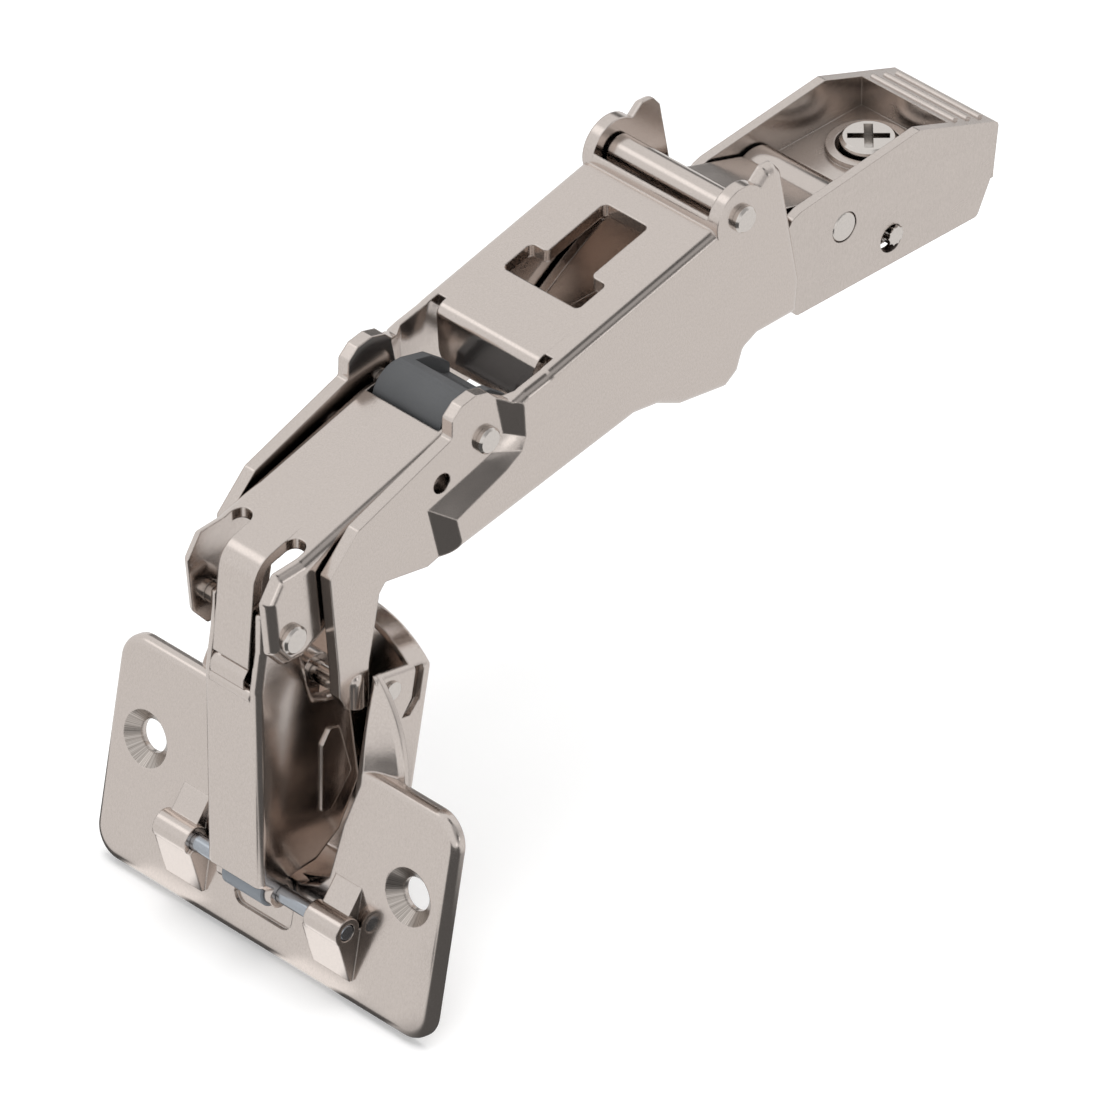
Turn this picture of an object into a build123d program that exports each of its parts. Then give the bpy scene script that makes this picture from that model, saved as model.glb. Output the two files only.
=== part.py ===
from build123d import *
import math
import os

# Concealed wide-angle cup hinge, shown with the door wide open.
# X runs along the pivots, Y into the cabinet, Z away from the side panel.
# The origin lies midway between the two screw holes, on the plane where the flange meets the door.

# Pivot axes, all parallel to X, as (y, z)
ARM_PIVOT = (26.0, 46.9)
LINK_PIVOT = (-4.0, 32.1)
CUP_PIVOT = (-3.5, -7.0)
TIP_PIVOT = (4.3, 21.0)
TILT_PIVOT = (67.3, 59.5)
CLIP_PIVOT = (88.0, 47.0)
LATCH_AXIS = (96.6, 41.9)

# Sheet and casting thicknesses
ARM_SHEET = 1.7
LEVER_SHEET = 1.45
LINK_SHEET = 1.25
BASE_SHEET = 1.3
FLANGE_SHEET = 1.8
CUP_WALL = 0.85
CAST_WALL = 1.3

# Clearances
SIDE_GAP = 0.4
PIN_FIT = 0.04
PRESS_FIT = 0.02
FACE_GAP = 0.3

# Half widths, from the middle of the hinge outwards
STRAP_HALF = 3.0
LINK_HALF = STRAP_HALF + SIDE_GAP + LINK_SHEET
LEVER_HALF = 7.5
INNER_LEVER_HALF = 1.5
PLATE_INNER = LEVER_HALF + SIDE_GAP
PLATE_OUTER = PLATE_INNER + ARM_SHEET
JOGGLE = 1.75
ARM_HALF = PLATE_OUTER + JOGGLE
ARM_INNER = ARM_HALF - ARM_SHEET
BASE_HALF = ARM_INNER - SIDE_GAP
CUP_HALF = PLATE_OUTER + 0.6 + CUP_WALL
CLIP_HALF = 8.55
CLIP_INNER = CLIP_HALF - CAST_WALL
BASE_REAR_HALF = CLIP_INNER - SIDE_GAP

# Pins
MAIN_PIN_R = 1.35
MAIN_HEAD_R = 1.75
LINK_PIN_R = 1.35
LINK_HEAD_R = 1.85
FRONT_PIN_R = 1.1
TIP_PIN_R = 1.3
TILT_PIN_R = 1.2
TILT_HEAD_R = 1.75
CLIP_PIN_R = 2.05
LATCH_PIN_R = 1.15
SPLINES = 10
SPLINE_SIZE = 0.28
HEAD_HEIGHT = 0.9

# Flange and cup
FLANGE_WIDTH = 57.5
FLANGE_TOP = 12.7
FLANGE_BOTTOM = -18.0
FLANGE_CORNER = 4.0
RIM_R = 1.1
OPEN_TILT = 10.9
SCREW_SPACING = 45.0
SCREW_HOLE_R = 2.15
DIMPLE_R = 3.75
DIMPLE_DEPTH = 1.5
CUP_R = 17.5
CUP_CENTRE = 9.5
CUP_DEPTH = 11.5
COLLAR_DEPTH = 3.2
COLLAR_FLAT_R = 12.6
COLLAR_SHEET = 1.2
TOP_NOTCH_DEPTH = 7.9
NOTCH_GAP = 0.7
EAR_R = 1.9
BUSH_R = 2.3
EAR_INNER = 10.2
EAR_OUTER = 15.8
TAB_END = -14.7
STAKE_PLACE = (21.2, 4.85)
STAKE_R = 1.2

# Arm top plate
PLATE_FRONT = (35.5, 52.6)
PLATE_SLOPE = 13.6
PLATE_BEND_R = 1.5
TONGUE_HALF = 7.2
TONGUE_TOP_HALF = 8.3
TONGUE_DROP = 7.2
EAR_BOSS_R = 4.2
WINDOW_START = 44.6
WINDOW_WIDE = (4.9, 12.7)
WINDOW_NARROW = (9.8, 7.4)

# Main lever
LEVER_TOP_REAR = (21.6, 48.4)
LEVER_TOP_FRONT = (-1.7, 41.7)
LEVER_BEND_R = 1.6
STRAP_SLOT_LONG = 5.4
STRAP_SLOT_R = 1.4

# Front link
LINK_FRONT = 3.6
LINK_BEND_R = 1.0

# Base and clip lever
BASE_FLOOR_Z = 41.0
BASE_START = 44.0
BASE_TAIL_Z = 43.6
BARREL_R = 4.3
SCREW_Y = 101.0
SCREW_HEAD_R = 3.6
SCREW_SHANK_R = 2.0
SCREW_TOP = 50.2
CLIP_FLOOR_Z = 48.4
CLIP_FLOOR_SHEET = 1.3
PAD_START = 107.3
RIDGE_PLACES = (8.5, 10.9, 13.2)
SCREW_GAP = 0.5


def from_pivot(pivot, *offsets):
    """Points given as offsets from a pivot, as (y, z)."""
    return [(pivot[0] + dy, pivot[1] + dz) for dy, dz in offsets]


def side_face(points, radius=0.0):
    """Closed outline in the YZ plane, with its corners rounded."""
    face = make_face(Polyline(*points, close=True))
    if radius > 0:
        face = fillet(face.vertices(), radius)
    return Plane.YZ * face


def slab(face, low, high):
    """A YZ face made solid from x = low to x = high."""
    return extrude(Pos(low, 0, 0) * face, amount=high - low, dir=(1, 0, 0))


def disc(pivot, radius):
    """Round YZ face about a pivot."""
    return Plane.YZ * Pos(pivot[0], pivot[1]) * Circle(radius)


def pin(pivot, radius, half):
    """Round bar across the hinge."""
    return slab(disc(pivot, radius), -half, half)


def both_sides(solid):
    """A solid and its mirror image across the middle plane."""
    return solid + mirror(solid, Plane.YZ)


def bent_strip(points, radius, thickness, half):
    """Strip of sheet bent along a line in the YZ plane."""
    path = FilletPolyline(*points, radius=radius)
    return slab(Plane.YZ * trace(path, thickness), -half, half)


def headed_pin(pivot, radius, head_r, seat_half):
    """Pin with a low head riveted at each end."""
    head = slab(disc(pivot, head_r), seat_half, seat_half + HEAD_HEIGHT)
    rim = head.faces().sort_by(Axis.X)[-1].edges()
    head = chamfer(rim, HEAD_HEIGHT / 3)
    return pin(pivot, radius, seat_half) + both_sides(head)


def plate_top(y):
    """Height of the arm's top plate at y."""
    return PLATE_FRONT[1] + (y - PLATE_FRONT[0]) * math.tan(math.radians(PLATE_SLOPE))


def arm_outline():
    """Side outline of the arm, elbow first, then round to the ears."""
    elbow_tip = from_pivot(
        TIP_PIVOT,
        (2.2, 3.2), (2.1, -3.0), (-1.4, -1.8), (-2.6, 0.5), (-2.7, 3.8), (-4.0, 18.3), (0.7, 23.0),
    )
    lobe = from_pivot(
        ARM_PIVOT,
        (-5.6, 2.6), (-5.5, 5.1), (-3.9, 6.5), (-1.6, 6.9), (0.5, 6.3),
        (1.9, 4.9), (3.4, 4.2), (5.4, 4.8), (9.0, 5.5),
    )
    plate_rear = TILT_PIVOT[0] - EAR_BOSS_R + 0.4
    top = [PLATE_FRONT, (plate_rear, plate_top(plate_rear))]
    ears = from_pivot(
        TILT_PIVOT,
        (0.5, 4.1), (2.6, 3.2), (4.3, 4.7), (6.1, 4.6), (7.3, 3.1), (10.6, -13.8), (10.1, -18.6),
    )
    foot = from_pivot(
        TILT_PIVOT,
        (3.2, -18.6), (1.1, -19.6), (0.1, -22.3), (-2.1, -23.8),
        (-9.8, -22.6), (-13.7, -20.7), (-17.8, -20.1),
    )
    belly = from_pivot(ARM_PIVOT, (-5.3, -12.4), (-9.7, -13.6))
    corner = from_pivot(TIP_PIVOT, (5.0, 13.6), (4.0, 12.4))
    return elbow_tip + lobe + top + ears + foot + belly + corner


def joggle_cutter(shift):
    """Tapered block that presses the front of each arm wall inwards."""
    rim = from_pivot(
        ARM_PIVOT,
        (4.5, 9.0), (4.8, 3.3), (5.0, -1.2), (4.4, -3.0),
        (1.75, -4.6), (-6.5, -7.7), (-5.35, -12.4), (-4.0, -18.0),
    )
    floor = from_pivot(
        ARM_PIVOT,
        (1.2, 9.6), (1.65, 4.4), (2.8, -0.6), (0.9, -2.5),
        (-0.8, -2.95), (-9.75, -5.5), (-7.9, -13.1), (-6.6, -18.6),
    )
    low = TIP_PIVOT[1] - 12.0
    front = TIP_PIVOT[0] - 12.0
    high = ARM_PIVOT[1] + 14.0
    outer = side_face([(rim[0][0], high)] + rim + [(rim[-1][0], low), (front, low), (front, high)])
    inner = side_face([(floor[0][0], high)] + floor + [(floor[-1][0], low), (front, low), (front, high)])
    outer_side = Pos(ARM_HALF - shift, 0, 0) * outer
    inner_side = Pos(ARM_HALF - JOGGLE - shift, 0, 0) * inner
    return loft([outer_side, inner_side], ruled=True)


def arm_hollow():
    """Space between the arm's walls, under its top plate."""
    under = ARM_SHEET / math.cos(math.radians(PLATE_SLOPE))
    rear = TILT_PIVOT[0] - EAR_BOSS_R + 0.2
    far = TILT_PIVOT[0] + 20.0
    start = TIP_PIVOT[0] - 15.0
    lip = PLATE_FRONT[0] + ARM_SHEET
    points = [
        (start, 0), (start, 90), (lip, 90), (lip, plate_top(lip) - under),
        (rear, plate_top(rear) - under), (rear, 90), (far, 90), (far, 0),
    ]
    space = slab(side_face(points), -ARM_INNER, ARM_INNER)
    return space - both_sides(joggle_cutter(ARM_SHEET))


def t_window():
    """T-shaped window in the top plate, over the mounting screw."""
    wide_long, wide_across = WINDOW_WIDE
    narrow_long, narrow_across = WINDOW_NARROW
    wide = Pos(0, WINDOW_START + wide_long / 2) * Rectangle(wide_across, wide_long)
    narrow_at = WINDOW_START + wide_long + narrow_long / 2 - 0.5
    narrow = Pos(0, narrow_at) * Rectangle(narrow_across, narrow_long + 1)
    outline = wide + narrow
    outline = fillet(outline.vertices(), 0.7)
    return extrude(Pos(0, 0, plate_top(WINDOW_START) - 4) * outline, amount=15)


def arm_tongue():
    """Front end of the top plate, bent down between the walls."""
    y, z = PLATE_FRONT
    mid = ARM_SHEET / 2
    back = (y + 6.0, plate_top(y + 6.0) - mid - 0.02)
    bend = (y + mid, plate_top(y + mid) - mid - 0.02)
    end = (y + mid - 0.6, z - TONGUE_DROP)
    tongue = bent_strip([back, bend, end], 1.0, ARM_SHEET, TONGUE_TOP_HALF)
    low = z - TONGUE_DROP
    shape = [(-TONGUE_HALF, low), (TONGUE_HALF, low), (TONGUE_TOP_HALF, z - 0.8), (TONGUE_TOP_HALF, z + 5)]
    shape += [(-TONGUE_TOP_HALF, z + 5), (-TONGUE_TOP_HALF, z - 0.8)]
    face = make_face(Polyline(*shape, close=True))
    face = fillet(face.vertices().group_by(Axis.Y)[0], 2.4)
    return tongue & extrude(Plane.XZ.offset(-y - 12) * face, amount=24)


def arm_body():
    """Arm pressed from one sheet: walls, top plate, tongue, joggle and elbow."""
    outer = slab(side_face(arm_outline(), 0.5), -ARM_HALF, ARM_HALF)
    outer += slab(disc(TILT_PIVOT, EAR_BOSS_R), -ARM_HALF, ARM_HALF)
    bends = outer.edges().filter_by(
        lambda e: abs(abs(e.center().X) - ARM_HALF) < 0.01
        and e.length > 20
        and abs(e.center().Z - plate_top(e.center().Y)) < 0.3
    )
    outer = fillet(bends, PLATE_BEND_R)
    body = outer - both_sides(joggle_cutter(0)) - arm_hollow() - t_window()
    body += arm_tongue()
    body -= pin(ARM_PIVOT, MAIN_PIN_R + PRESS_FIT, ARM_HALF + 1)
    body -= pin(TILT_PIVOT, TILT_PIN_R + PRESS_FIT, ARM_HALF + 1)
    body -= pin(from_pivot(ARM_PIVOT, (-7.3, -2.85))[0], 1.35, ARM_HALF + 1)
    dome = Pos(PLATE_OUTER - 1.5, TIP_PIVOT[0] + 0.2, TIP_PIVOT[1] + 1.2) * Sphere(1.9)
    trough = Pos(PLATE_OUTER - 1.5, TIP_PIVOT[0] + 0.2, TIP_PIVOT[1] - 0.7) * Cylinder(1.9, 3.8)
    bulge = (dome + trough) & slab(side_face(arm_outline()), PLATE_OUTER - 1, PLATE_OUTER + 2)
    return body + both_sides(bulge)


def main_lever():
    """Lever from the arm to the link, with ears, top plate and front strap."""
    front = LEVER_TOP_FRONT
    rear = LEVER_TOP_REAR
    nose = from_pivot(LINK_PIVOT, (4.9, -2.8), (2.0, -4.2), (-0.8, -4.1), (-3.2, -1.3))
    nose += from_pivot(LINK_PIVOT, (-3.9, 6.2), (-1.8, 9.4))
    tail = from_pivot(ARM_PIVOT, (2.6, 2.3), (3.3, -0.6), (1.2, -3.2), (-2.0, -3.5))
    outline = nose + [front, rear] + tail
    outer = slab(side_face(outline, 0.6), -LEVER_HALF, LEVER_HALF)
    middle_y = (front[0] + rear[0]) / 2
    middle_z = (front[1] + rear[1]) / 2
    bends = outer.edges().filter_by(
        lambda e: abs(abs(e.center().X) - LEVER_HALF) < 0.01
        and e.length > 18
        and abs(e.center().Y - middle_y) < 1
        and abs(e.center().Z - middle_z) < 1
    )
    outer = fillet(bends, LEVER_BEND_R)
    slope = math.atan2(rear[1] - front[1], rear[0] - front[0])
    drop = LEVER_SHEET / math.cos(slope)
    inner = LEVER_HALF - LEVER_SHEET
    rise = math.tan(slope)
    hollow = [
        (front[0] - 15, front[1] + 15), (front[0], front[1] + 15), (front[0], front[1] - drop),
        (rear[0], rear[1] - drop), (rear[0], rear[1] + 15), (rear[0] + 20, rear[1] + 15),
        (rear[0] + 20, rear[1] - 30), (front[0] - 15, front[1] - 30),
    ]
    body = outer - slab(side_face(hollow), -inner, inner)
    strap_path = [
        (front[0] + 4.0, front[1] + 4.0 * rise - drop / 2),
        (front[0] - 3.2, front[1] - 3.2 * rise - drop / 2 + 0.1),
        (LINK_PIVOT[0] - 2.2, LINK_PIVOT[1] - 5.4),
    ]
    body += bent_strip(strap_path, 3.2, LEVER_SHEET, STRAP_HALF)
    wide = inner - STRAP_HALF
    corner = min(STRAP_SLOT_R, 0.48 * wide)
    slot = Pos(STRAP_HALF + wide / 2, front[0] - 0.3) * RectangleRounded(wide, STRAP_SLOT_LONG, corner)
    body -= both_sides(extrude(Pos(0, 0, front[1] - 4) * slot, amount=8))
    body -= pin(ARM_PIVOT, MAIN_PIN_R + PIN_FIT, LEVER_HALF + 1)
    body -= pin(LINK_PIVOT, LINK_PIN_R + PRESS_FIT, LEVER_HALF + 1)
    return body


def front_link():
    """Deep U-shaped link between the lever and the cup."""
    inner = LINK_HALF - LINK_SHEET
    front = CUP_PIVOT[0] - LINK_FRONT
    top = LINK_PIVOT[1] - 8.4
    cheek = [(front, CUP_PIVOT[1] + 2.2), (front, top), (front + 0.9, LINK_PIVOT[1] - 3.0)]
    eye = from_pivot(LINK_PIVOT, (-2.0, 2.2), (1.0, 2.8), (2.8, 1.0), (3.0, -1.4))
    throat = from_pivot(TIP_PIVOT, (-3.1, 3.2), (-2.6, 0.2), (-1.9, -2.2), (0.3, -3.1), (3.4, -3.6))
    skirt = from_pivot(CUP_PIVOT, (12.3, 21.0), (13.6, 10.4), (10.0, 4.2))
    skirt += from_pivot(CUP_PIVOT, (6.0, 1.5), (2.6, 1.4), (-1.4, 0.6))
    outer = slab(side_face(cheek + eye + throat + skirt, 0.4), -LINK_HALF, LINK_HALF)
    outer += slab(disc(CUP_PIVOT, EAR_R), -LINK_HALF, LINK_HALF)
    bends = outer.edges().filter_by(
        lambda e: abs(abs(e.center().X) - LINK_HALF) < 0.01
        and e.length > 20
        and abs(e.center().Y - front) < 0.01
    )
    outer = fillet(bends, LINK_BEND_R)
    back = front + LINK_SHEET
    hollow = [(back, -40), (back, top - 1.0), (front - 5, top - 1.0), (front - 5, 80), (40, 80), (40, -40)]
    body = outer - slab(side_face(hollow), -inner, inner)
    body += slab(disc((front + 0.75, top - 0.9), 0.95), -inner, inner)
    body -= Pos(0, front, CUP_PIVOT[1] - 2.0) * Box(2 * inner, 2 * LINK_SHEET + 1.2, 6.2)
    body -= pin(LINK_PIVOT, LINK_PIN_R + PIN_FIT, LINK_HALF + 1)
    body -= pin(CUP_PIVOT, FRONT_PIN_R + PIN_FIT, LINK_HALF + 1)
    emboss = from_pivot(CUP_PIVOT, (9.6, 19.8), (11.4, 12.6), (8.0, 8.4))
    emboss += from_pivot(CUP_PIVOT, (6.4, 8.6), (6.6, 18.4), (8.0, 20.4))
    panel = slab(side_face(emboss, 0.6), LINK_HALF - 0.2, LINK_HALF + 0.35)
    return body + both_sides(panel)


def inner_lever():
    """Hidden control lever from the elbow tip to the front pin."""
    half = INNER_LEVER_HALF
    boss = STRAP_HALF
    low = from_pivot(CUP_PIVOT, (-1.6, 1.0), (0.6, 10.0))
    high = from_pivot(TIP_PIVOT, (-2.2, -0.8), (-1.0, 1.9), (1.4, 1.8), (2.3, -1.0))
    bow = from_pivot(CUP_PIVOT, (7.8, 12.0), (2.5, 1.6))
    body = slab(side_face(low + high + bow, 0.5), -half, half)
    body += pin(CUP_PIVOT, EAR_R, half) + pin(TIP_PIVOT, TIP_PIN_R + 1.05, boss)
    body -= pin(TIP_PIVOT, TIP_PIN_R + PRESS_FIT, boss + 1)
    body -= pin(CUP_PIVOT, FRONT_PIN_R + PIN_FIT, half + 1)
    return body


def cup_plane():
    """Local frame of the cup: X across, Y towards the door edge, Z out of the flange."""
    tilt = math.radians(OPEN_TILT)
    return Plane(origin=(0, 0, 0), x_dir=(1, 0, 0), z_dir=(0, -math.cos(tilt), math.sin(tilt)))


def cup_local(pivot):
    """A row-frame (y, z) point in the cup's own (u, n) coordinates."""
    tilt = math.radians(OPEN_TILT)
    y, z = pivot
    return (y * math.sin(tilt) + z * math.cos(tilt), -y * math.cos(tilt) + z * math.sin(tilt))


def flange():
    """Flange plate with rounded rim, screw dimples and the throat for the levers."""
    height = FLANGE_TOP - FLANGE_BOTTOM
    middle = (FLANGE_TOP + FLANGE_BOTTOM) / 2
    outline = RectangleRounded(FLANGE_WIDTH, height, FLANGE_CORNER)
    plate = extrude(Pos(0, middle, -FLANGE_SHEET) * outline, FLANGE_SHEET)
    plate = fillet(plate.faces().sort_by(Axis.Z)[-1].edges(), RIM_R)
    for side in (-1, 1):
        at = Pos(side * SCREW_SPACING / 2, 0, 0)
        boss = Cone(SCREW_HOLE_R + 0.9, DIMPLE_R + 0.4, DIMPLE_DEPTH)
        plate += at * Pos(0, 0, -0.8 - DIMPLE_DEPTH / 2) * boss
        plate -= at * Pos(0, 0, -DIMPLE_DEPTH / 2) * Cone(SCREW_HOLE_R, DIMPLE_R, DIMPLE_DEPTH)
        plate -= at * Cylinder(SCREW_HOLE_R, 12)
    recess = extrude(Pos(0, -10.1, -0.5) * RectangleRounded(9.8, 7.2, 1.6), 2)
    return plate - recess


def cup_section(radius, half):
    """Round section with flat sides."""
    return (Pos(0, CUP_CENTRE) * Circle(radius)) & (Pos(0, CUP_CENTRE) * Rectangle(2 * half, 4 * radius))


def collar(radius, top):
    """Shallow cone-topped disc round the cup's centre."""
    profile = [(0, top), (COLLAR_FLAT_R, top), (radius - 0.5, top - 1.9), (radius, top - 2.5)]
    profile += [(radius, top - COLLAR_DEPTH), (0, top - COLLAR_DEPTH)]
    face = Plane.XZ * make_face(Polyline(*profile, close=True))
    return Pos(0, CUP_CENTRE, 0) * revolve(face, Axis.Z)


def cup_shell():
    """Collar and deep flat-sided body, before the mouth is cut."""
    body = extrude(Pos(0, 0, -CUP_DEPTH) * cup_section(CUP_R - 0.05, CUP_HALF), CUP_DEPTH - 2.0)
    body = fillet(body.edges().filter_by(Axis.Z), 0.9)
    body = fillet(body.faces().sort_by(Axis.Z)[0].edges(), 0.8)
    return collar(CUP_R, 0) - collar(CUP_R - CUP_WALL, -COLLAR_SHEET) + body


def throat_outline():
    """Mouth of the cup: narrow U below, wide opening above."""
    right = [(5.6, -6.4), (8.4, -5.2), (9.9, -3.4), (10.9, 4.3), (12.6, 10.6), (12.4, 13.0)]
    right += [(PLATE_OUTER + 0.9, 24.0), (PLATE_OUTER + 0.9, 30.0)]
    left = [(-x, y) for x, y in reversed(right)]
    return make_face(Polyline(*right, *left, close=True))


def cup_ears():
    """Ears rolled out of the flange on ramped tabs, holding the front pin."""
    u, n = cup_local(CUP_PIVOT)
    ear = slab(disc((u, n), EAR_R), EAR_INNER, EAR_OUTER)
    low_ramp = [(TAB_END, -0.8), (TAB_END, 0.5), (u - 1.3, n + 1.3), (u, n), (u, -0.8)]
    high_ramp = [(u, -0.8), (u, n), (u + 1.4, n - 0.2), (u + 5.2, 0.05), (u + 5.2, -0.8)]
    ear += slab(side_face(low_ramp), EAR_INNER - 0.6, EAR_OUTER)
    ear += slab(side_face(high_ramp), EAR_INNER + 0.6, EAR_OUTER - 0.6)
    bore = slab(disc((u, n), FRONT_PIN_R + PRESS_FIT), -EAR_OUTER - 1, EAR_OUTER + 1)
    return both_sides(ear), bore


def cup_side_slot():
    """Curved slot in the cup's flat side, as (u, n) points."""
    return [(23.2, -8.6), (19.0, -8.6), (16.6, -7.4), (16.6, -8.8), (18.4, -10.0), (23.2, -10.0)]


def cup():
    """Flange, collar and cup drawn from one sheet."""
    ears, bore = cup_ears()
    shell = cup_shell() + flange() + ears
    floor = -CUP_DEPTH + CUP_WALL
    section = cup_section(CUP_R - CUP_WALL, CUP_HALF - CUP_WALL)
    cavity = extrude(Pos(0, 0, floor) * section, -floor - COLLAR_DEPTH + 0.4)
    cavity = fillet(cavity.faces().sort_by(Axis.Z)[0].edges(), 0.4)
    neck_low = -COLLAR_DEPTH - 0.1
    neck_section = cup_section(CUP_R - CUP_WALL - 0.3, CUP_HALF - CUP_WALL)
    neck = extrude(Pos(0, 0, neck_low) * (neck_section & throat_outline()), 8)
    mouth = extrude(Pos(0, 0, -2.0) * throat_outline(), 8)
    notch_wide = 2 * (PLATE_OUTER + NOTCH_GAP)
    notch = Pos(0, CUP_CENTRE + CUP_R, -TOP_NOTCH_DEPTH / 2) * Box(notch_wide, 12, TOP_NOTCH_DEPTH)
    shell = shell - cavity - neck - mouth - notch - bore
    side_slot = slab(side_face(cup_side_slot()), CUP_HALF - CUP_WALL - 0.4, CUP_HALF + 1)
    shell -= both_sides(side_slot)
    u, depth = STAKE_PLACE
    shell -= Pos(0, u, -depth) * Rot(0, 90, 0) * Cylinder(STAKE_R - 0.3, FLANGE_WIDTH)
    return cup_plane() * shell


def cup_stakes():
    """Staked pin ends in the sides of the cup."""
    u, depth = STAKE_PLACE
    inner = CUP_HALF - CUP_WALL
    bar = Cylinder(STAKE_R - 0.3 - PRESS_FIT, CUP_WALL)
    shank = Pos((inner + CUP_HALF) / 2, 0, 0) * Rot(0, 90, 0) * bar
    head = Pos(CUP_HALF + 0.2, 0, 0) * Rot(0, 90, 0) * Cylinder(STAKE_R, 0.4)
    flat = Pos(inner - 0.1, 0, 0) * Rot(0, 90, 0) * Cylinder(STAKE_R, 0.2)
    stake = Pos(0, u, -depth) * (shank + head + flat)
    return cup_plane() * both_sides(stake)


def front_pin():
    """Plain steel pin through the ears, the link and the inner lever."""
    bar = pin(CUP_PIVOT, FRONT_PIN_R, EAR_OUTER)
    ends = bar.edges().filter_by(GeomType.CIRCLE)
    return chamfer(ends, 0.2)


def pin_bush():
    """Plastic drum on the front pin between the link's cheeks, slotted for the inner lever."""
    half = LINK_HALF - LINK_SHEET - 0.1
    slot = INNER_LEVER_HALF + 0.1
    drum = slab(disc(CUP_PIVOT, BUSH_R) - disc(CUP_PIVOT, FRONT_PIN_R + PIN_FIT), -half, half)
    drum -= slab(disc(CUP_PIVOT, EAR_R + 0.06), -slot, slot)
    open_side = from_pivot(CUP_PIVOT, (-2.5, 4.0), (-2.0, 0.3), (-1.0, 0.0))
    open_side += from_pivot(CUP_PIVOT, (-1.3, -4.0), (6.0, -4.0), (6.0, 4.0))
    return drum - slab(side_face(open_side), -slot, slot)


def cam_block():
    """Dark plastic piece on the arm pivot, between the lever's ears."""
    half = LEVER_HALF - LEVER_SHEET - SIDE_GAP
    round_end = slab(disc(ARM_PIVOT, 3.9), -half, half)
    tail = from_pivot(ARM_PIVOT, (-1.0, 3.77), (0.8, 3.9), (4.6, 2.9), (7.8, 0.4), (7.8, -1.4), (3.2, -2.2))
    body = round_end + slab(side_face(tail, 0.3), -half, half)
    dish = from_pivot(ARM_PIVOT, (0.9, 5.2), (8.8, 5.2), (8.8, -1.0), (7.0, -0.9), (3.4, 1.8))
    body -= slab(side_face(dish), -half + 1.3, half - 1.3)
    folded_link = from_pivot(ARM_PIVOT, (-6.0, -1.7), (-0.8, -1.2), (5.5, -5.1), (5.5, -9.0), (-6.0, -9.0))
    body -= both_sides(slab(side_face(folded_link), STRAP_HALF + 0.15, LINK_HALF + FACE_GAP))
    return body - pin(ARM_PIVOT, MAIN_PIN_R + PIN_FIT, half + 1)


def base_plate():
    """Inner sheet under the arm, with a rolled eye in front and a barrel behind."""
    thick = BASE_SHEET
    z = BASE_FLOOR_Z
    tail_z = BASE_TAIL_Z
    rear = TILT_PIVOT[0] + 8.6
    tail_end = SCREW_Y + 4.5
    wall = [(BASE_START + 8, z), (rear, z), (rear, TILT_PIVOT[1] - 9.5)]
    wall += from_pivot(TILT_PIVOT, (3.0, -6.5), (-4.0, -7.5), (-10.0, -11.0)) + [(BASE_START + 8, z + 4)]
    floor = [(BASE_START, z), (rear, z), (rear, z + thick), (BASE_START, z + thick)]
    tail_start = rear + 10
    tail = [(tail_start, tail_z), (tail_end, tail_z)]
    tail += [(tail_end, tail_z + thick), (tail_start, tail_z + thick)]
    cheek = [(rear - 3, z), (rear - 3, TILT_PIVOT[1] - 5.5), (CLIP_PIVOT[0] - 1, CLIP_PIVOT[1] + 3.4)]
    cheek += from_pivot(CLIP_PIVOT, (3.0, 1.5), (5.0, -1.5))
    cheek += [(tail_end, tail_z + thick), (tail_end, tail_z)]
    cheek += [(CLIP_PIVOT[0] + 5.0, tail_z), (CLIP_PIVOT[0] + 2.0, z)]
    body = both_sides(slab(side_face(wall, 0.5), BASE_HALF - thick, BASE_HALF))
    body += slab(side_face(floor), -BASE_HALF, BASE_HALF)
    body += slab(side_face(tail), -BASE_REAR_HALF, BASE_REAR_HALF)
    body += both_sides(slab(side_face(cheek, 0.4), BASE_REAR_HALF - thick, BASE_REAR_HALF))
    web = from_pivot(TILT_PIVOT, (0.5, -1.3), (6.0, -5.2)) + from_pivot(CLIP_PIVOT, (-2.0, 3.3))
    body += slab(Plane.YZ * trace(Polyline(*web), thick), -BASE_REAR_HALF, BASE_REAR_HALF)
    body += pin(TILT_PIVOT, TILT_PIN_R + 1.0, BASE_HALF)
    body += pin(CLIP_PIVOT, BARREL_R, BASE_REAR_HALF)
    y, low = LATCH_AXIS
    tab = [(y - 3.4, tail_z + thick), (y - 1.8, low - 2.1), (y + 1.8, low - 2.1), (y + 3.4, tail_z + thick)]
    body += both_sides(slab(side_face(tab), BASE_REAR_HALF - 2.0, BASE_REAR_HALF))
    body -= pin(TILT_PIVOT, TILT_PIN_R + PIN_FIT, BASE_HALF + 1)
    body -= pin(CLIP_PIVOT, CLIP_PIN_R + PIN_FIT, BASE_HALF + 1)
    body -= pin(LATCH_AXIS, LATCH_PIN_R + PRESS_FIT, BASE_HALF + 1)
    hook = Pos(0, WINDOW_START + 5.5, z - 1) * extrude(RectangleRounded(8.0, 11.0, 2.5), 5)
    return body - hook - Pos(0, SCREW_Y, tail_z) * Cylinder(SCREW_SHANK_R + PIN_FIT, 12)


def clip_outline():
    """Side outline of the cast clip lever."""
    front = from_pivot(CLIP_PIVOT, (-8.2, -9.0), (-10.4, -6.0), (-10.4, 3.4), (-9.0, 5.3), (-7.5, 5.8))
    top = from_pivot(CLIP_PIVOT, (12.9, 7.9), (27.0, 2.7))
    rear = from_pivot(CLIP_PIVOT, (26.2, -4.0), (23.4, -9.5))
    return front + top + rear


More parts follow.
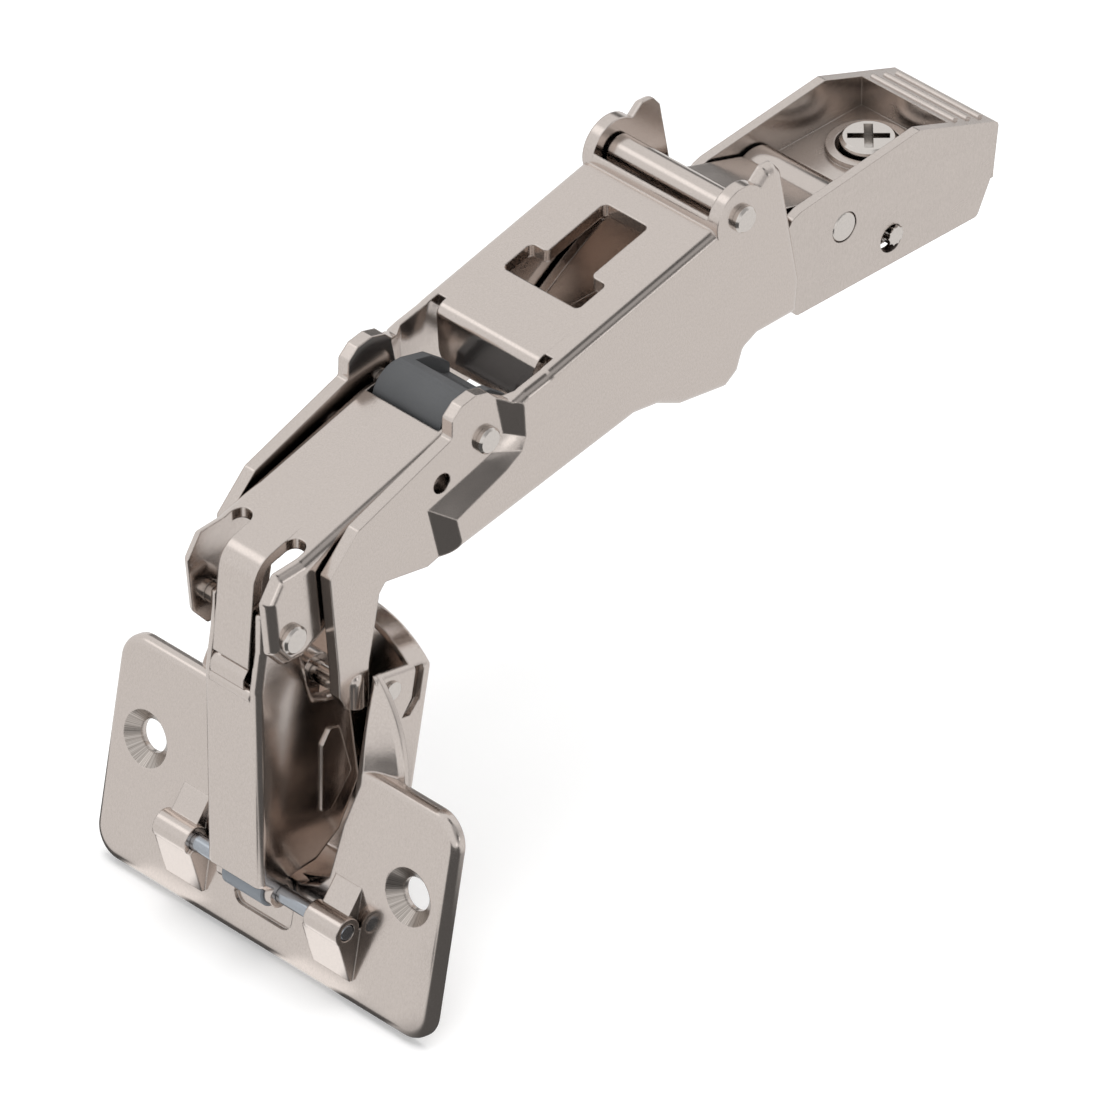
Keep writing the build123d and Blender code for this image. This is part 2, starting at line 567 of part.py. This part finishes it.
def clip_ridges():
    """Raised ridges across the thumb pad."""
    corner = from_pivot(CLIP_PIVOT, (12.9, 7.9), (27.0, 2.7))
    slope = math.atan2(corner[1][1] - corner[0][1], corner[1][0] - corner[0][0])
    bar = Cylinder(0.5, 2 * CLIP_HALF - 3.2)
    ridges = []
    for step in RIDGE_PLACES:
        y = corner[0][0] + step * math.cos(slope)
        z = corner[0][1] + step * math.sin(slope) - 0.15
        ridges.append(Pos(0, y, z) * Rot(0, 90, 0) * bar)
    return ridges


def clip_lever():
    """Cast lever that clips the arm on, with a serrated thumb pad."""
    outer = slab(side_face(clip_outline(), 0.8), -CLIP_HALF, CLIP_HALF)
    low = CLIP_PIVOT[1] - 20
    high = CLIP_PIVOT[1] + 20
    floor = CLIP_FLOOR_Z
    under = floor - CLIP_FLOOR_SHEET
    start = CLIP_PIVOT[0] - 20
    neck = CLIP_PIVOT[0] + 4.8
    top_room = [(start, floor), (start, high), (PAD_START, high), (PAD_START, floor)]
    open_front = [(start, low), (start, high), (neck, high), (neck, low)]
    below = [(start, low), (start, under), (PAD_START, under)]
    below += [(PAD_START + 4.6, under - 1.8), (PAD_START + 3.6, low)]
    body = outer
    for room in (top_room, open_front, below):
        body -= slab(side_face(room), -CLIP_INNER, CLIP_INNER)
    for ridge in clip_ridges():
        body += ridge
    ring = Pos(0, SCREW_Y, floor + 0.35) * Cylinder(SCREW_HEAD_R + 1.7, 0.7)
    body += ring & slab(side_face(clip_outline()), -CLIP_INNER - 0.2, CLIP_INNER + 0.2)
    body -= Pos(0, SCREW_Y, floor) * Cylinder(SCREW_HEAD_R + SCREW_GAP, 5)
    body -= pin(CLIP_PIVOT, CLIP_PIN_R + PRESS_FIT, CLIP_HALF + 1)
    body -= pin(from_pivot(LATCH_AXIS, (-0.35, -0.45))[0], LATCH_PIN_R + 0.75, CLIP_HALF + 1)
    nub = Pos(0, CLIP_PIVOT[0] + 26.0, CLIP_PIVOT[1] - 4.8) * Box(2 * CLIP_HALF - 1.5, 2.0, 1.9)
    return body + nub


def clip_pin():
    """Pin that the clip lever turns on, flush with its walls."""
    bar = pin(CLIP_PIVOT, CLIP_PIN_R, CLIP_HALF)
    return chamfer(bar.edges().filter_by(GeomType.CIRCLE), 0.25)


def latch_pin():
    """Latch pin in the base, splined where it shows."""
    shank = pin(LATCH_AXIS, LATCH_PIN_R, CLIP_INNER)
    star = Circle(LATCH_PIN_R)
    for index in range(SPLINES):
        turn = Rot(0, 0, 360 / SPLINES * index)
        star += turn * Pos(LATCH_PIN_R, 0) * Rot(0, 0, 45) * Rectangle(SPLINE_SIZE, SPLINE_SIZE)
    end = slab(Plane.YZ * Pos(*LATCH_AXIS) * star, CLIP_INNER, CLIP_HALF + 0.5)
    return shank + both_sides(end)


def depth_screw():
    """Cross-recessed screw that sets the depth of the arm."""
    head_height = 3.0
    top = SCREW_TOP
    head = Pos(0, SCREW_Y, top - head_height / 2) * Cylinder(SCREW_HEAD_R, head_height)
    head = chamfer(head.faces().sort_by(Axis.Z)[-1].edges(), 0.4)
    low = BASE_TAIL_Z - 2.0
    shank_top = top - head_height
    shank = Pos(0, SCREW_Y, (low + shank_top) / 2) * Cylinder(SCREW_SHANK_R, shank_top - low)
    collar_low = BASE_TAIL_Z + BASE_SHEET + FACE_GAP
    collar_bar = Cylinder(SCREW_HEAD_R - 0.6, shank_top - collar_low)
    collar = Pos(0, SCREW_Y, (collar_low + shank_top) / 2) * collar_bar
    screw = head + shank + collar
    for turn in (0, 90):
        screw -= Pos(0, SCREW_Y, top - 0.7) * Rot(0, 0, turn + 45) * Box(5.2, 1.1, 1.6)
    return screw


def depth_cam():
    """Spiral disc under the base, turned by the depth screw."""
    top = BASE_TAIL_Z - FACE_GAP
    disc_body = Pos(0, SCREW_Y + 0.4, top - 0.7) * Cylinder(2.9, 1.4)
    return disc_body - Pos(0, SCREW_Y, top) * Cylinder(SCREW_SHANK_R + PRESS_FIT, 6)


def clip_spring():
    """Leaf spring that holds the clip lever shut."""
    z = BASE_TAIL_Z + BASE_SHEET
    points = [
        (CLIP_PIVOT[0] + 5.4, z + 0.2),
        (CLIP_PIVOT[0] + 9.0, z + 0.2),
        (CLIP_PIVOT[0] + 5.4, CLIP_FLOOR_Z - CLIP_FLOOR_SHEET - 0.55),
    ]
    return bent_strip(points, 0.35, 0.4, 2.0)


PARTS = {
    "arm_body": arm_body,
    "main_lever": main_lever,
    "front_link": front_link,
    "inner_lever": inner_lever,
    "cup": cup,
    "cup_stakes": cup_stakes,
    "front_pin": front_pin,
    "pin_bushes": pin_bush,
    "cam_block": cam_block,
    "base_plate": base_plate,
    "clip_lever": clip_lever,
    "clip_pin": clip_pin,
    "latch_pin": latch_pin,
    "depth_screw": depth_screw,
    "depth_cam": depth_cam,
    "clip_spring": clip_spring,
    "main_pin": lambda: headed_pin(ARM_PIVOT, MAIN_PIN_R, MAIN_HEAD_R, PLATE_OUTER),
    "link_pin": lambda: headed_pin(LINK_PIVOT, LINK_PIN_R, LINK_HEAD_R, LEVER_HALF),
    "tip_pin": lambda: pin(TIP_PIVOT, TIP_PIN_R, PLATE_INNER - 0.2),
    "tilt_pin": lambda: headed_pin(TILT_PIVOT, TILT_PIN_R, TILT_HEAD_R, ARM_HALF),
}

# The origin is moved from the flange's face to the seat on the door, in the middle of the screw holes
to_seat = -Vector(*cup_plane().offset(-FLANGE_SHEET).origin)

os.makedirs("parts", exist_ok=True)
for name, make in PARTS.items():
    solid = Pos(to_seat) * make()
    export_step(solid, "parts/" + name + ".step")
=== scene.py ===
import bpy
import bmesh
import math
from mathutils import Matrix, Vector


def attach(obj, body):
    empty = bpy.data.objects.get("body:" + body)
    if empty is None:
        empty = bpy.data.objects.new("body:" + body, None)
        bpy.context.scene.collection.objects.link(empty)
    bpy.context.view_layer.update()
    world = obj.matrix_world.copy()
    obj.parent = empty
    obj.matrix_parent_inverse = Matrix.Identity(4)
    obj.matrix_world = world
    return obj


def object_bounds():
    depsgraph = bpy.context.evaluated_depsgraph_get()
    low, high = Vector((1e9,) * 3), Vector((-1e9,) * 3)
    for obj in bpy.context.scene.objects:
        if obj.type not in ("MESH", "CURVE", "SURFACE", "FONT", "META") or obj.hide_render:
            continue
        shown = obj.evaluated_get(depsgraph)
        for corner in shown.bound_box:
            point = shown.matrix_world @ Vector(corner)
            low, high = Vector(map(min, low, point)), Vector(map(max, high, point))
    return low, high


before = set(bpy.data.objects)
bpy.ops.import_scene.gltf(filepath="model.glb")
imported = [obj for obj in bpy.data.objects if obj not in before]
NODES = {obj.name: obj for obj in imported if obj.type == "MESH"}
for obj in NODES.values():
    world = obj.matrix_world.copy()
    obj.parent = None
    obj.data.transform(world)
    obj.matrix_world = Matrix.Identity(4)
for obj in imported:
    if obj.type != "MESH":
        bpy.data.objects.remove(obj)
cad_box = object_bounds()

MM = 0.001

# Camera: the photo's view, square, from far away
IMAGE = 1100
PIXELS_PER_MM = 8.344
CAMERA_DISTANCE = 1.6
CAMERA_SENSOR = 36
CAMERA_CLIP = (0.1, 20)
TARGET = Vector((0.0051, 0.039432, 0.021340))
CAMERA_DIRECTION = Vector((1, -1, 1)).normalized()

# Finish: colour, roughness and its spread, relief strength, grain scale, edge radius in mm
NICKEL_LOOK = ((0.725, 0.652, 0.606), 0.17, 0.03, 0.30, 2600, 0.32)
CAST_LOOK = ((0.715, 0.645, 0.60), 0.24, 0.04, 0.40, 1900, 0.22)
BRIGHT_LOOK = ((0.77, 0.72, 0.68), 0.15, 0.03, 0.15, 2600, 0.12)
PIN_LOOK = ((0.46, 0.49, 0.53), 0.22, 0.04, 0.10, 2600, 0.10)
SPRING_LOOK = ((0.40, 0.41, 0.43), 0.28, 0.05, 0.10, 2200, 0.05)
EDGE_SAMPLES = 6

# Metal: specks in the colour, smears in the gloss, fine relief in mm, and painted shade that
# darkens the colour in hollows and gaps between parts
SPECK_SCALE = 2.2
SPECK_STRETCH = (1, 1, 0.45)
SPECK_LEVELS = (0.95, 1.03)
SMEAR_SCALE = 420
SMEAR_STRETCH = (1, 0.35, 1)
METAL_RELIEF = 0.01
HOLLOW_SHADE_REACH = 0.006
HOLLOW_SHADE_LEVEL = 0.28
HOLLOW_SHADE_SPAN = (0.05, 0.60)
HOLLOW_SHADE_SAMPLES = 6

# Plastic: clouds in the colour, grain in gloss and relief; relief and edge radius in mm
CLOUD_SCALE = 140
CLOUD_LIGHT = 1.12
PLASTIC_GRAIN = 2600
PLASTIC_SPREAD = 0.06
PLASTIC_BUMP = 0.25
PLASTIC_RELIEF = 0.02
PLASTIC_EDGE = 0.25
PLASTIC_SPECULAR = 0.4

# Countersinks in the flange, in mm from the point midway between the screw holes
HOLE_X = 22.5
SINK_R = 3.78
SINK_LEVELS = (0.02, 1.76)
SINK_ROUGH = 0.28
# Countersink colours: tool-mark stripes whose dark end and darker average are also painted shade
SINK_MARK_AND_SHADE_DARK = (0.24, 0.205, 0.18, 1)
SINK_LIGHT = (0.80, 0.74, 0.69, 1)
MARK_SCALE = 23
MARK_DETAIL = 4
MARK_SPAN = (0.35, 0.65)
FLANGE_TILT = math.radians(10.9)
FLANGE_NORMAL = Vector((0, -math.cos(FLANGE_TILT), math.sin(FLANGE_TILT)))
ACROSS = Vector((1, 0, 0))

# Lip at the top of the front link, in mm: (y, z) of its bend's centre, then its sizes
LIP_ARC = (-6.85, 24.65)
LIP_R = 2.0
LIP_SHEET = 0.9
LIP_SPAN = (-3.35, 2.3)
LIP_START = 23.9
LIP_END = -5.4
LIP_STEP = 10
LIP_SHARP = math.radians(30)

# Floor: its levels for the camera and in reflections, and where reflections see it darker or
# brighter, in metres
FLOOR_SIZE = 4.0
FLOOR_GAP = 0.0005
FLOOR_TINT = (0.90, 0.915)
FLOOR_TINT_SCALE = 6
FLOOR_ROUGH = 0.9
FLOOR_LIFT = 0.16
FLOOR_SEEN_COLOR = (1.0, 0.995, 0.99, 1)
FLOOR_SEEN = 0.77
FLOOR_SHADE = 0.11
FLOOR_GLOW = 1.10
SOFT_EDGE = 0.0015
CARD_RIGHT = (0.018, 0.028)
CARD_NEAR = (0.04, 0.015)
CARD_END = (0.30, 0.22)
STRIP_NEAR = (-0.0095, -0.0075)
STRIP_FAR = (0.010, 0.0)
STRIP_LEFT = (-0.060, -0.050)
STRIP_RIGHT = (0.024, 0.020)
SPOT_X = (0.006, 0.017)
SPOT_Y = (-0.046, -0.032)
GLOW_SPANS = [(0.002, 0.012), (-0.024, -0.014)]
GLOW_Y = (-0.0115, 0.004)

# Room: its light, its level in reflections, and patches there as axis, inner and outer
# degrees, level
ROOM_LIGHT = 0.62
ROOM_SEEN = 0.80
ROOM_PATCHES = [
    ((0.80, 0.25, 0.50), 20, 44, 0.42),
    ((0.905, 0.225, 0.358), 9, 17, 0.15),
    ((0.25, 0.29, 0.92), 9, 17, 0.11),
    ((0.86, 0.48, 0.16), 3, 8, 1.5),
    ((0.95, -0.30, 0.02), 5, 12, 1.3),
    ((-0.58, -0.32, 0.75), 5, 15, 1.25),
    ((-0.577, 0.78, 0.24), 6, 13, 0.15),
]

# Lamps: place, size, power
TOP_LAMP = ((0.05, 0.05, 0.75), (0.7, 0.7), 4.2)
FRONT_LAMP = ((0.45, -0.65, 0.45), (0.5, 0.5), 2.0)


# Shader helpers
def new_material(name):
    material = bpy.data.materials.new(name)
    material.use_nodes = True
    tree = material.node_tree
    return material, tree, tree.nodes["Principled BSDF"]


def link(tree, source, target):
    tree.links.new(source, target)


def fill(tree, target, value):
    """A number is set on the socket, anything else is linked to it."""
    if isinstance(value, (int, float)):
        target.default_value = value
    else:
        link(tree, value, target)


def grey(value):
    return (value, value, value, 1)


def add_noise(tree, scale, detail, stretch=(1, 1, 1)):
    """Noise over the piece's own coordinates."""
    coords = tree.nodes.new("ShaderNodeTexCoord")
    mapping = tree.nodes.new("ShaderNodeMapping")
    mapping.inputs["Scale"].default_value = stretch
    noise = tree.nodes.new("ShaderNodeTexNoise")
    noise.inputs["Scale"].default_value = scale
    noise.inputs["Detail"].default_value = detail
    link(tree, coords.outputs["Object"], mapping.inputs["Vector"])
    link(tree, mapping.outputs["Vector"], noise.inputs["Vector"])
    return noise.outputs["Fac"]


def ramp(tree, source, low, high, span=(0.3, 0.7)):
    """Colour low up to the start of the span, high from its end."""
    node = tree.nodes.new("ShaderNodeValToRGB")
    for element, place, color in zip(node.color_ramp.elements, span, (low, high)):
        element.position = place
        element.color = color
    link(tree, source, node.inputs["Fac"])
    return node.outputs["Color"]


def mix_color(tree, factor, first, second, blend="MIX"):
    """Two colours mixed by a factor."""
    node = tree.nodes.new("ShaderNodeMix")
    node.data_type = "RGBA"
    node.blend_type = blend
    fill(tree, node.inputs["Factor"], factor)
    color_a, color_b = [socket for socket in node.inputs if socket.type == "RGBA"]
    link(tree, first, color_a)
    link(tree, second, color_b)
    return next(socket for socket in node.outputs if socket.type == "RGBA")


def mix_level(tree, mask, low, high):
    """Number low where the mask is 0, high where it is 1."""
    node = tree.nodes.new("ShaderNodeMix")
    node.data_type = "FLOAT"
    link(tree, mask, node.inputs["Factor"])
    fill(tree, node.inputs["A"], low)
    fill(tree, node.inputs["B"], high)
    return node.outputs["Result"]


def math_node(tree, operation, first, second=0.0):
    node = tree.nodes.new("ShaderNodeMath")
    node.operation = operation
    fill(tree, node.inputs[0], first)
    fill(tree, node.inputs[1], second)
    return node.outputs["Value"]


def product(tree, *values):
    """All the values multiplied."""
    result = values[0]
    for value in values[1:]:
        result = math_node(tree, "MULTIPLY", result, value)
    return result


def smooth(tree, value, start, end):
    """0 at start, 1 at end, smooth between."""
    node = tree.nodes.new("ShaderNodeMapRange")
    node.interpolation_type = "SMOOTHSTEP"
    node.inputs["From Min"].default_value = start
    node.inputs["From Max"].default_value = end
    link(tree, value, node.inputs["Value"])
    return node.outputs["Result"]


def toward(tree, vector, axis):
    """Length of a vector along an axis."""
    node = tree.nodes.new("ShaderNodeVectorMath")
    node.operation = "DOT_PRODUCT"
    link(tree, vector, node.inputs[0])
    node.inputs[1].default_value = Vector(axis).normalized()
    return node.outputs["Value"]


def cap(tree, direction, axis, inner, outer):
    """1 within inner degrees of the axis, 0 beyond outer degrees."""
    cosine = toward(tree, direction, axis)
    return smooth(tree, cosine, math.cos(math.radians(outer)), math.cos(math.radians(inner)))


# Materials
def add_relief(tree, shader, height, strength, distance, edge):
    """Fine relief, over edges that the shading rounds; distance and edge are in mm."""
    round_edge = tree.nodes.new("ShaderNodeBevel")
    round_edge.samples = EDGE_SAMPLES
    round_edge.inputs["Radius"].default_value = edge * MM
    relief = tree.nodes.new("ShaderNodeBump")
    relief.inputs["Strength"].default_value = strength
    relief.inputs["Distance"].default_value = distance * MM
    link(tree, height, relief.inputs["Height"])
    link(tree, round_edge.outputs["Normal"], relief.inputs["Normal"])
    link(tree, relief.outputs["Normal"], shader.inputs["Normal"])


def metal(name, color, rough, rough_spread, bump, grain, edge):
    """Satin metal: grain in colour, gloss and relief, painted shade in hollows and gaps, and
    softened edges.
    """
    material, tree, shader = new_material(name)
    shader.inputs["Metallic"].default_value = 1.0
    speck = add_noise(tree, grain * SPECK_SCALE, 3, SPECK_STRETCH)
    dark, light = [tuple(min(1, c * level) for c in color) + (1,) for level in SPECK_LEVELS]
    tint = ramp(tree, speck, dark, light)
    # Painted shade: ambient occlusion darkens the base colour in hollows, creases and gaps
    # between parts
    hollow = tree.nodes.new("ShaderNodeAmbientOcclusion")
    hollow.samples = HOLLOW_SHADE_SAMPLES
    hollow.inputs["Distance"].default_value = HOLLOW_SHADE_REACH
    depth = ramp(tree, hollow.outputs["AO"], grey(HOLLOW_SHADE_LEVEL), grey(1), HOLLOW_SHADE_SPAN)
    link(tree, mix_color(tree, 1.0, tint, depth, "MULTIPLY"), shader.inputs["Base Color"])
    smear = add_noise(tree, SMEAR_SCALE, 4, SMEAR_STRETCH)
    level = ramp(tree, smear, grey(rough - rough_spread), grey(rough + rough_spread))
    link(tree, level, shader.inputs["Roughness"])
    add_relief(tree, shader, add_noise(tree, grain, 5), bump, METAL_RELIEF, edge)
    return material


def plastic(name, color, rough):
    """Moulded plastic, faintly cloudy, with a fine grain."""
    material, tree, shader = new_material(name)
    light = tuple(c * CLOUD_LIGHT for c in color) + (1,)
    tint = ramp(tree, add_noise(tree, CLOUD_SCALE, 2), tuple(color) + (1,), light)
    link(tree, tint, shader.inputs["Base Color"])
    fine = add_noise(tree, PLASTIC_GRAIN, 2)
    level = ramp(tree, fine, grey(rough - PLASTIC_SPREAD), grey(rough + PLASTIC_SPREAD))
    link(tree, level, shader.inputs["Roughness"])
    add_relief(tree, shader, fine, PLASTIC_BUMP, PLASTIC_RELIEF, PLASTIC_EDGE)
    shader.inputs["Specular IOR Level"].default_value = PLASTIC_SPECULAR
    return material


def sink_mask(tree, point, side):
    """1 inside a screw hole's countersink; also the angle round the hole."""
    to_local = NODES["cup"].matrix_world.inverted()
    turn = to_local.to_3x3()
    away = tree.nodes.new("ShaderNodeVectorMath")
    away.operation = "SUBTRACT"
    link(tree, point, away.inputs[0])
    away.inputs[1].default_value = to_local @ (side * HOLE_X * MM * ACROSS)
    offset = away.outputs["Vector"]
    normal = turn @ FLANGE_NORMAL
    level = toward(tree, offset, normal)
    across = toward(tree, offset, turn @ ACROSS)
    upward = toward(tree, offset, normal.cross(turn @ ACROSS))
    square = math_node(tree, "ADD", product(tree, across, across), product(tree, upward, upward))
    inside = math_node(tree, "LESS_THAN", math_node(tree, "SQRT", square), SINK_R * MM)
    above = math_node(tree, "GREATER_THAN", level, SINK_LEVELS[0] * MM)
    below = math_node(tree, "LESS_THAN", level, SINK_LEVELS[1] * MM)
    return product(tree, inside, above, below), math_node(tree, "ARCTAN2", across, upward)


def cup_metal():
    """The plates' metal, with tool marks in the countersinks, kept darker than the plate as
    painted shade there.
    """
    material = metal("satin_nickel_cup", *NICKEL_LOOK)
    tree = material.node_tree
    shader = tree.nodes["Principled BSDF"]
    coords = tree.nodes.new("ShaderNodeTexCoord")
    color = shader.inputs["Base Color"].links[0].from_socket
    rough = shader.inputs["Roughness"].links[0].from_socket
    for side in (-1, 1):
        mask, angle = sink_mask(tree, coords.outputs["Object"], side)
        turns = tree.nodes.new("ShaderNodeCombineXYZ")
        link(tree, angle, turns.inputs["X"])
        marks = tree.nodes.new("ShaderNodeTexNoise")
        marks.inputs["Scale"].default_value = MARK_SCALE
        marks.inputs["Detail"].default_value = MARK_DETAIL
        link(tree, turns.outputs["Vector"], marks.inputs["Vector"])
        # Tool marks round each hole, their darker colour also painted shade in the countersink
        marks_and_shade = ramp(tree, marks.outputs["Fac"], SINK_MARK_AND_SHADE_DARK, SINK_LIGHT, MARK_SPAN)
        color = mix_color(tree, mask, color, marks_and_shade)
        rough = mix_level(tree, mask, rough, SINK_ROUGH)
    link(tree, color, shader.inputs["Base Color"])
    link(tree, rough, shader.inputs["Roughness"])
    return material


NICKEL = metal("satin_nickel", *NICKEL_LOOK)
CUP_NICKEL = cup_metal()
CAST = metal("cast_nickel", *CAST_LOOK)
BRIGHT = metal("bright_steel", *BRIGHT_LOOK)
PIN_STEEL = metal("bare_steel", *PIN_LOOK)
SPRING = metal("spring_steel", *SPRING_LOOK)
PLASTIC = plastic("grey_plastic", (0.070, 0.072, 0.075), 0.50)
BLUE_PLASTIC = plastic("blue_grey_plastic", (0.20, 0.22, 0.245), 0.46)

FINISH = {
    "arm_body": NICKEL, "main_lever": NICKEL, "front_link": NICKEL, "inner_lever": NICKEL,
    "cup": CUP_NICKEL, "base_plate": NICKEL, "clip_lever": CAST, "depth_cam": CAST,
    "cup_stakes": BRIGHT, "clip_pin": BRIGHT, "latch_pin": BRIGHT, "depth_screw": BRIGHT,
    "main_pin": BRIGHT, "link_pin": BRIGHT, "tip_pin": BRIGHT, "tilt_pin": BRIGHT,
    "front_pin": PIN_STEEL, "clip_spring": SPRING,
    "cam_block": PLASTIC, "pin_bushes": BLUE_PLASTIC,
}
for node, material in FINISH.items():
    slots = NODES[node].data.materials
    slots.clear()
    slots.append(material)


# Lip on the link
def lip_arc(radius):
    """Quarter turn of the lip's bend, from the link's face to the top, as (y, z) points."""
    y, z = LIP_ARC
    turns = [math.radians(angle) for angle in range(180, 89, -LIP_STEP)]
    return [(y + radius * math.cos(turn), z + radius * math.sin(turn)) for turn in turns]


def lip_profile():
    """Closed outline of the lip in the YZ plane: up the link's face, over the bend and back."""
    y, z = LIP_ARC
    bend = LIP_R - LIP_SHEET
    top = z + LIP_R
    outer = [(y - LIP_R, LIP_START)] + lip_arc(LIP_R)
    end = [(LIP_END, top), (LIP_END, top - LIP_SHEET)]
    inner = lip_arc(bend)[::-1] + [(y - bend, LIP_START)]
    return outer + end + inner


def add_link_lip():
    """Rolled lip at the top of the front link, under the lever's strap."""
    profile = lip_profile()
    count = len(profile)
    points = [(x * MM, y * MM, z * MM) for x in LIP_SPAN for y, z in profile]
    faces = [(i, count + i, count + (i + 1) % count, (i + 1) % count) for i in range(count)]
    faces += [tuple(range(count)), tuple(reversed(range(count, 2 * count)))]
    mesh = bpy.data.meshes.new("link_lip")
    mesh.from_pydata(points, [], faces)
    shape = bmesh.new()
    shape.from_mesh(mesh)
    bmesh.ops.recalc_face_normals(shape, faces=shape.faces)
    shape.to_mesh(mesh)
    shape.free()
    mesh.shade_smooth()
    mesh.set_sharp_from_angle(angle=LIP_SHARP)
    mesh.materials.append(NICKEL)
    lip = bpy.data.objects.new("link_lip", mesh)
    bpy.context.scene.collection.objects.link(lip)
    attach(lip, "link")


# Stage
def box_mask(tree, apart, span_x, span_y):
    """1 inside a soft-edged rectangle on the floor, 0 outside."""
    sides = []
    for axis, (low, high) in (("X", span_x), ("Y", span_y)):
        sides.append(smooth(tree, apart.outputs[axis], low - SOFT_EDGE, low + SOFT_EDGE))
        sides.append(smooth(tree, apart.outputs[axis], high + SOFT_EDGE, high - SOFT_EDGE))
    return product(tree, *sides)


def floor_seen(tree):
    """Level of the floor in reflections: a dark card, strip and spot, and two bright spots."""
    coords = tree.nodes.new("ShaderNodeTexCoord")
    apart = tree.nodes.new("ShaderNodeSeparateXYZ")
    link(tree, coords.outputs["Object"], apart.inputs["Vector"])
    x, y = apart.outputs["X"], apart.outputs["Y"]
    card_sides = ((x, CARD_RIGHT), (y, CARD_NEAR), (x, CARD_END))
    card = product(tree, *[smooth(tree, value, *span) for value, span in card_sides])
    strip_sides = ((y, STRIP_NEAR), (y, STRIP_FAR), (x, STRIP_LEFT), (x, STRIP_RIGHT))
    strip = product(tree, *[smooth(tree, value, *span) for value, span in strip_sides])
    spot = box_mask(tree, apart, SPOT_X, SPOT_Y)
    shade = math_node(tree, "MAXIMUM", math_node(tree, "MAXIMUM", card, strip), spot)
    calm = mix_level(tree, shade, FLOOR_SEEN, FLOOR_SHADE)
    glows = [box_mask(tree, apart, span, GLOW_Y) for span in GLOW_SPANS]
    return mix_level(tree, math_node(tree, "MAXIMUM", *glows), calm, FLOOR_GLOW)


def floor_material():
    """White for the camera with its shadow kept, and calm in reflections."""
    material, tree, shader = new_material("floor_white")
    low, high = FLOOR_TINT
    tint = ramp(tree, add_noise(tree, FLOOR_TINT_SCALE, 2), grey(low), grey(high))
    link(tree, tint, shader.inputs["Base Color"])
    shader.inputs["Roughness"].default_value = FLOOR_ROUGH
    shader.inputs["Specular IOR Level"].default_value = 0.0
    path = tree.nodes.new("ShaderNodeLightPath")
    lift = tree.nodes.new("ShaderNodeEmission")
    lift.inputs["Color"].default_value = grey(1)
    link(tree, product(tree, path.outputs["Is Camera Ray"], FLOOR_LIFT), lift.inputs["Strength"])
    total = tree.nodes.new("ShaderNodeAddShader")
    link(tree, shader.outputs["BSDF"], total.inputs[0])
    link(tree, lift.outputs["Emission"], total.inputs[1])
    seen = tree.nodes.new("ShaderNodeEmission")
    seen.inputs["Color"].default_value = FLOOR_SEEN_COLOR
    link(tree, floor_seen(tree), seen.inputs["Strength"])
    pick = tree.nodes.new("ShaderNodeMixShader")
    link(tree, path.outputs["Is Glossy Ray"], pick.inputs["Fac"])
    link(tree, total.outputs["Shader"], pick.inputs[1])
    link(tree, seen.outputs["Emission"], pick.inputs[2])
    link(tree, pick.outputs["Shader"], tree.nodes["Material Output"].inputs["Surface"])
    return material


def add_floor():
    """Pale floor just under the hinge."""
    half = FLOOR_SIZE / 2
    low = cad_box[0][2] - FLOOR_GAP
    mesh = bpy.data.meshes.new("floor")
    corners = [(-half, -half, low), (half, -half, low), (half, half, low), (-half, half, low)]
    mesh.from_pydata(corners, [], [(0, 1, 2, 3)])
    mesh.materials.append(floor_material())
    floor = bpy.data.objects.new("floor", mesh)
    bpy.context.scene.collection.objects.link(floor)


def add_area(name, place, size, power):
    """Soft lamp aimed at the hinge, left out of reflections."""
    data = bpy.data.lights.new(name, "AREA")
    data.shape = "RECTANGLE"
    data.size, data.size_y = size
    data.energy = power
    light = bpy.data.objects.new(name, data)
    light.location = place
    light.rotation_euler = (TARGET - Vector(place)).to_track_quat("-Z", "Y").to_euler()
    light.visible_glossy = False
    bpy.context.scene.collection.objects.link(light)


def add_world():
    """Even studio light; reflections see a pale room with dark and bright patches."""
    world = bpy.data.worlds.new("studio")
    bpy.context.scene.world = world
    world.use_nodes = True
    tree = world.node_tree
    background = tree.nodes["Background"]
    background.inputs["Color"].default_value = grey(1)
    direction = tree.nodes.new("ShaderNodeTexCoord").outputs["Generated"]
    level = ROOM_SEEN
    for axis, inner, outer, value in ROOM_PATCHES:
        level = mix_level(tree, cap(tree, direction, axis, inner, outer), level, value)
    path = tree.nodes.new("ShaderNodeLightPath")
    lit = mix_level(tree, path.outputs["Is Glossy Ray"], ROOM_LIGHT, level)
    total = mix_level(tree, path.outputs["Is Camera Ray"], lit, 1.0)
    link(tree, total, background.inputs["Strength"])


def add_camera():
    """Camera in the photo's direction, at the photo's scale."""
    data = bpy.data.cameras.new("camera")
    camera = bpy.data.objects.new("camera", data)
    frame_width = IMAGE / PIXELS_PER_MM * MM
    data.sensor_width = CAMERA_SENSOR
    data.lens = CAMERA_SENSOR * CAMERA_DISTANCE / frame_width
    data.clip_start, data.clip_end = CAMERA_CLIP
    camera.location = TARGET + CAMERA_DIRECTION * CAMERA_DISTANCE
    camera.rotation_euler = (-CAMERA_DIRECTION).to_track_quat("-Z", "Y").to_euler()
    bpy.context.scene.collection.objects.link(camera)
    bpy.context.scene.camera = camera


add_link_lip()
add_floor()
add_area("top_soft", *TOP_LAMP)
add_area("front_soft", *FRONT_LAMP)
add_world()
add_camera()
bpy.context.scene.view_settings.view_transform = "Standard"
